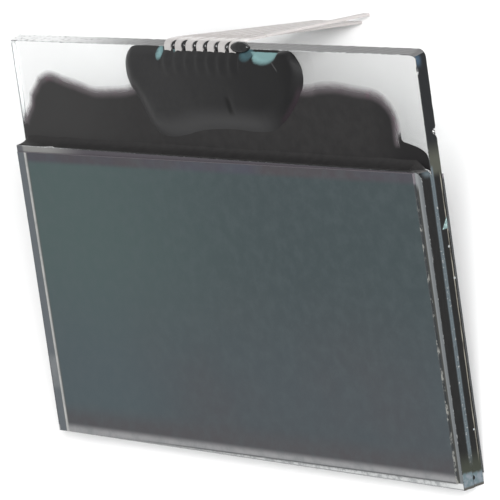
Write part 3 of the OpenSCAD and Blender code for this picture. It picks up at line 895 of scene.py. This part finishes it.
lacquer = poured(
    "ledge_lacquer_coat", smooth_rim(LACQUER_RIM, 0.3), 0.3, GLASS_T - SINK, lacquer_height, [lacquer_mat])
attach(lacquer, "root")
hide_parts("ledge_lacquer")


# Lacquer on the step: the same coat, drawn up the wall of the front plate to its rim, with a
# wavy upper end.
FOOT_REACH = 0.95
FOOT_CURVE = 2.6
FOOT_SHARES = (0.06, 0.12, 0.2, 0.3, 0.42, 0.56, 0.72, 0.88, 1.0)


def step_coat(name, x0, x1, seed, mats):
    """A thin fillet along the wall of the step, lofted along x."""
    rng = np.random.default_rng(seed)
    count = round((x1 - x0) / 0.3)
    wander = np.convolve(rng.uniform(-1, 1, count + 9), np.ones(5) / 5, "same")[2:count + 3]
    points, size = [], len(FOOT_SHARES) + 2
    for k in range(count + 1):
        at = x0 + (x1 - x0) * k / count
        top = FRONT_Z - 0.03 - 0.05 * (wander[k] + 0.6) - 0.35 * math.exp(-((at - 5.0) / 0.7) ** 2)
        top -= 0.9 * max(0.0, 1 - (x1 - at) / 0.9)
        ends = min(1.0, 0.2 + (at - x0) / 0.5, 0.06 + (x1 - at) / 0.9)
        points += [(at, WINDOW_H - SINK, GLASS_T + 0.01), (at, WINDOW_H - SINK, top)]
        for share in FOOT_SHARES:
            points.append((at, WINDOW_H + FOOT_REACH * ends * share,
                           GLASS_T + 0.02 + (top - GLASS_T - 0.02) * (1 - share) ** FOOT_CURVE))
    faces = [tuple(range(size)), tuple(range(count * size, count * size + size))[::-1]]
    for k in range(count):
        for j in range(size):
            a, b = k * size + j, k * size + (j + 1) % size
            faces.append((a, a + size, b + size, b))
    return new_piece(name, points, faces, mats, smooth=True)


climb_mat, t, p = panel_material("black_lacquer_on_step")
mottle = noise(t, p, 1.4, 4.0, 0.6)
paint(t, {
    "Base Color": tint(t, mottle, (0.008, 0.0075, 0.008, 1), (0.024, 0.023, 0.023, 1)),
    "Roughness": 0.5, "Specular IOR Level": 0.3, "Normal": bump(t, mottle, 0.02, 0.5)})
climb = step_coat("step_lacquer_fillet", PLATE_SHIFT, PANEL_W - ROUND_R + 0.15, 53, [climb_mat])
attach(climb, "root")


# Chip resin: a drop of black epoxy poured over the chip and the pins' fingers. It sags over the
# chip, rises in a rib over each finger, and is thin and teal where bubbles left bare spots; the
# brightest teal spot, beside the last pin, is painted light shining through the bare glass.
RESIN_T = 0.78
RESIN_RIM = [
    (19, 35.18), (17.7, 34.8), (16.95, 33.9), (16.8, 32.8), (17.1, 31.8), (17.9, 30.8), (18.5, 30),
    (19.1, 28.9), (19.8, 27.95), (20.9, 27.4), (22.5, 27.25), (24.4, 27.5), (26, 27.85), (28.1, 28.1),
    (31.3, 28.2), (34, 28.1), (35.6, 28.15), (36.9, 28.45), (37.8, 28.95), (38.6, 29.5), (39.4, 30.15),
    (40.3, 31), (40.95, 32), (41.28, 33), (41.16, 33.9), (40.6, 34.7), (39.95, 35.12), (38.6, 35.18),
    (34.8, 35.18), (30, 35.18), (24, 35.18)]
PIN_XS = [MID_X + (k - (PIN_COUNT - 1) / 2) * PIN_PITCH for k in range(PIN_COUNT)]
THIN_SPOTS = (
    (22.45, 34.8, 0.33, 0.55), (24.5, 35.15, 0.26, 0.3),
    (34.4, 34.95, 0.8, 0.62), (36.75, 35.2, 1.95, 1.05))
RIB_H = 0.16
GULLY_H = 0.16
CHIP_SAG = 0.05
CLEFT_H = 0.08
THINNED = 0.75
CLEFT = (31.4, 31.0)
CLEFT_Y = (29.5, 30.0, 30.9, 31.4)
CLEFT_LEAN = 0.25
HAIR = (38.35, 34.0)
HAIR_X = (37.95, 38.1, 38.6, 38.8)
HAIR_LEAN = 0.9


def near(x, y, spot):
    """1 within an oval spot, falling smoothly to 0 at its rim."""
    r = np.sqrt(((x - spot[0]) / spot[2]) ** 2 + ((y - spot[1]) / spot[3]) ** 2)
    s = np.clip((1.15 - r) / 0.3, 0, 1)
    return s * s * (3 - 2 * s)


def resin_height(x, y, away):
    """The drop's height over the glass."""
    reach = 2.0 - 0.9 * np.clip((x - 36) / 3, 0, 1) - 0.8 * np.clip((y - 33) / 1.5, 0, 1)
    dome = np.sin(math.pi / 2 * np.clip(away / reach, 0, 1))
    waves = 0.04 * np.sin(x * 0.9 + 1.2) * np.sin(y * 1.1)
    high = RESIN_T * (0.83 + waves) * dome
    for px in PIN_XS:
        rib = np.exp(-((x - px + 0.12 * (y - 34)) / 0.5) ** 2) * np.clip((y - 32.8) / 1.2, 0, 1)
        high = high + RIB_H * rib * dome
    gully = np.clip((y - 33.2) / 1.6, 0, 1) * (x > PIN_XS[0] - 1) * (x < PIN_XS[-1] + 1)
    high = high - GULLY_H * gully * dome
    inside_chip = (np.clip((x - 26.6) / 0.9, 0, 1) * np.clip((32.4 - x) / 0.9, 0, 1)
                   * np.clip((y - 29.5) / 0.9, 0, 1) * np.clip((32.2 - y) / 0.7, 0, 1))
    high = high - CHIP_SAG * inside_chip
    groove = np.exp(-((x - CLEFT[0] - CLEFT_LEAN * (CLEFT[1] - y)) / 0.36) ** 2)
    groove = groove * np.clip((y - 29.6) / 0.5, 0, 1)
    high = high - CLEFT_H * groove * np.clip((31.3 - y) / 0.5, 0, 1)
    for spot in THIN_SPOTS:
        high = high * (1 - THINNED * near(x, y, spot))
    return SINK + np.maximum(high, 0.02)


resin_mat, t, p = panel_material("black_chip_resin")
x, y, _ = measures(t, p)
mottle = noise(t, p, 2.2, 4.0, 0.6)
body = tint(t, mottle, (0.012, 0.012, 0.0125, 1), (0.024, 0.024, 0.0245, 1))
body = tint(t, rise(t, x, 21.0, 40.0), body, (0.005, 0.005, 0.0055, 1))
rim_way = node(t, "ShaderNodeAttribute", attribute_name="from_rim").outputs["Fac"]
# Painted highlight: a lighter band along the drop's low foot, within 2.6 mm of its rim, fading out to the
# right.
foot = times(t, rise(t, rim_way, 2.6, 0.2), rise(t, y, 32.0, 29.8))
body = tint(t, times(t, foot, rise(t, x, 39.0, 34.0)), body, (0.042, 0.042, 0.043, 1))
flank = times(t, rise(t, rim_way, 0.55, 0.2), rise(t, x, 37.2, 38.4))
flank = times(t, flank, rise(t, y, 32.6, 31.6))
body = tint(t, flank, body, (0.017, 0.011, 0.015, 1))


def oval(tree, x, y, spot, soft):
    """1 within an oval spot on the panel, with a hazy rim."""
    dx = sums(tree, "DIVIDE", sums(tree, "SUBTRACT", x, spot[0]), spot[2])
    dy = sums(tree, "DIVIDE", sums(tree, "SUBTRACT", y, spot[1]), spot[3])
    r = sums(tree, "ADD", times(tree, dx, dx), times(tree, dy, dy))
    return rise(tree, r, 1.0 + soft, 1.0 - soft)


def slanted(tree, x, y, spot, lean, wide, full):
    """1 along a slanted line through spot; wide and full are squared distances from it."""
    off = sums(tree, "ADD", sums(tree, "SUBTRACT", x, spot[0]),
               times(tree, sums(tree, "SUBTRACT", y, spot[1]), lean))
    return rise(tree, times(tree, off, off), wide, full)


ragged = noise(t, p, 5.0, 3.0, 0.6)
ux = sums(t, "ADD", x, times(t, ragged, 0.12))
uy = sums(t, "ADD", y, times(t, ragged, 0.12))
# Painted light: the last, brightest teal spot beside the last pin stands in for light shining through the
# bare glass; the other thin spots are painted teal.
for spot, colour, soft, ceiling in (
        (THIN_SPOTS[0], (0.13, 0.22, 0.23, 1), 0.85, 35.3),
        (THIN_SPOTS[1], (0.09, 0.15, 0.155, 1), 0.8, 35.3),
        (THIN_SPOTS[2], (0.040, 0.080, 0.092, 1), 0.6, 35.3),
        (THIN_SPOTS[3], (0.155, 0.265, 0.27, 1), 0.35, 35.02)):
    there = times(t, oval(t, ux, uy, spot, soft), rise(t, uy, ceiling + 0.06, ceiling - 0.02))
    if spot == THIN_SPOTS[3]:
        there = times(t, there, rise(t, sums(t, "ADD", ux, uy), 69.75, 69.9))
    body = tint(t, there, body, colour)
# Painted shade: the cleft's groove is painted near-black along its dip.
cleft = times(t, slanted(t, x, y, CLEFT, CLEFT_LEAN, 0.24, 0.02), band(t, y, CLEFT_Y))
body = tint(t, times(t, cleft, 0.7), body, (0.002, 0.002, 0.002, 1))
hair = times(t, slanted(t, x, y, HAIR, HAIR_LEAN, 0.012, 0.003), band(t, x, HAIR_X))
body = tint(t, hair, body, (0.046, 0.047, 0.047, 1))
paint(t, {
    "Base Color": body, "Roughness": rise(t, x, 38.5, 40.5, 0.4, 0.7), "Specular IOR Level": 0.3,
    "Normal": bump(t, mottle, 0.015, 0.4)})
resin = poured(
    "chip_resin_drop", smooth_rim(RESIN_RIM, 0.18), 0.16, GLASS_T - SINK, resin_height, [resin_mat])
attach(resin, "root")
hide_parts("chip_resin")


# Resin beads at the edge: the drop wicks up between the pins and over the broken rim of the
# glass, and one larger bead wraps the bend of the last pin.
BEAD = (0.25, 0.42, 0.52)
BEAD_Y = 35.28
BEAD_Z = 0.88
CAP = (1.25, 0.52, 0.50)
CAP_OFF = 0.95
CAP_Z = 1.18


def bead_row_tree():
    """A row of oval beads: count, first place, step, half sizes, turn, unevenness, seed, material."""
    tree = bpy.data.node_groups.new("bead_row", "GeometryNodeTree")
    face = tree.interface
    for name, kind in (
            ("Count", "Int"), ("First", "Vector"), ("Step", "Vector"), ("Half Size", "Vector"),
            ("Turn", "Vector"), ("Uneven", "Float"), ("Seed", "Int"), ("Material", "Material")):
        face.new_socket(name, in_out="INPUT", socket_type="NodeSocket" + kind)
    face.new_socket("Beads", in_out="OUTPUT", socket_type="NodeSocketGeometry")
    given = tree.nodes.new("NodeGroupInput").outputs
    row = node(tree, "GeometryNodeMeshLine", {
        "Count": given["Count"], "Start Location": given["First"], "Offset": given["Step"]}, mode="OFFSET")
    ball = node(tree, "GeometryNodeMeshIcoSphere", {"Radius": 1.0, "Subdivisions": 4})
    vary = node(tree, "FunctionNodeRandomValue", {
        2: 0.88, 3: 1.12, "Seed": given["Seed"]}, data_type="FLOAT").outputs[1]
    size = node(
        tree, "ShaderNodeVectorMath", {0: given["Half Size"], 3: vary}, operation="SCALE").outputs[0]
    spread = node(tree, "GeometryNodeInstanceOnPoints", {
        "Points": row.outputs["Mesh"], "Instance": ball.outputs["Mesh"],
        "Rotation": given["Turn"], "Scale": size})
    real = node(tree, "GeometryNodeRealizeInstances", {0: spread.outputs["Instances"]})
    lumps = node(tree, "ShaderNodeTexNoise", {"Scale": 2600.0, "Detail": 1.0})
    out = node(tree, "ShaderNodeVectorMath", {
        0: lumps.outputs["Color"], 1: (0.5, 0.5, 0.5)}, operation="SUBTRACT").outputs[0]
    shift = node(tree, "ShaderNodeVectorMath", {0: out, 3: given["Uneven"]}, operation="SCALE").outputs[0]
    moved = node(tree, "GeometryNodeSetPosition", {"Geometry": real.outputs[0], "Offset": shift})
    smooth = node(tree, "GeometryNodeSetShadeSmooth", {0: moved.outputs[0]})
    dyed = node(tree, "GeometryNodeSetMaterial", {
        "Geometry": smooth.outputs[0], "Material": given["Material"]})
    node(tree, "NodeGroupOutput", {"Beads": dyed.outputs[0]})
    return tree


def grown(name, tree, **values):
    """The plain mesh that a Geometry Nodes tree makes from these inputs."""
    host = bpy.data.objects.new(name, bpy.data.meshes.new(name))
    root.objects.link(host)
    step = host.modifiers.new(name, "NODES")
    step.node_group = tree
    for key, value in values.items():
        socket = tree.interface.items_tree[key.replace("_", " ")]
        step[socket.identifier] = value
    made = bpy.data.meshes.new_from_object(host.evaluated_get(bpy.context.evaluated_depsgraph_get()))
    host.modifiers.clear()
    host.data = made
    return host


bead_mat, t, p = panel_material("black_resin_bead")
mottle = noise(t, p, 3.0, 3.0)
paint(t, {
    "Base Color": tint(t, mottle, (0.006, 0.006, 0.0065, 1), (0.016, 0.016, 0.017, 1)),
    "Roughness": 0.22, "Normal": bump(t, mottle, 0.01, 0.4)})
bead_tree = bead_row_tree()
pitch = lay(PIN_PITCH, 0, 0) - lay(0, 0, 0)
beads = grown(
    "resin_beads", bead_tree, Count=PIN_COUNT - 1, First=lay(PIN_XS[0] + PIN_PITCH / 2, BEAD_Y, BEAD_Z),
    Step=pitch, Half_Size=[v / 1000 for v in BEAD], Turn=(LEAN, 0.0, 0.0), Uneven=0.00012,
    Seed=5, Material=bead_mat)
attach(beads, "root")
cap = grown(
    "resin_cap", bead_tree, Count=1, First=lay(PIN_XS[-1] + CAP_OFF, BEAD_Y + 0.06, CAP_Z),
    Step=pitch, Half_Size=[v / 1000 for v in CAP], Turn=(LEAN, 0.0, 0.0), Uneven=0.00015,
    Seed=8, Material=bead_mat)
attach(cap, "root")
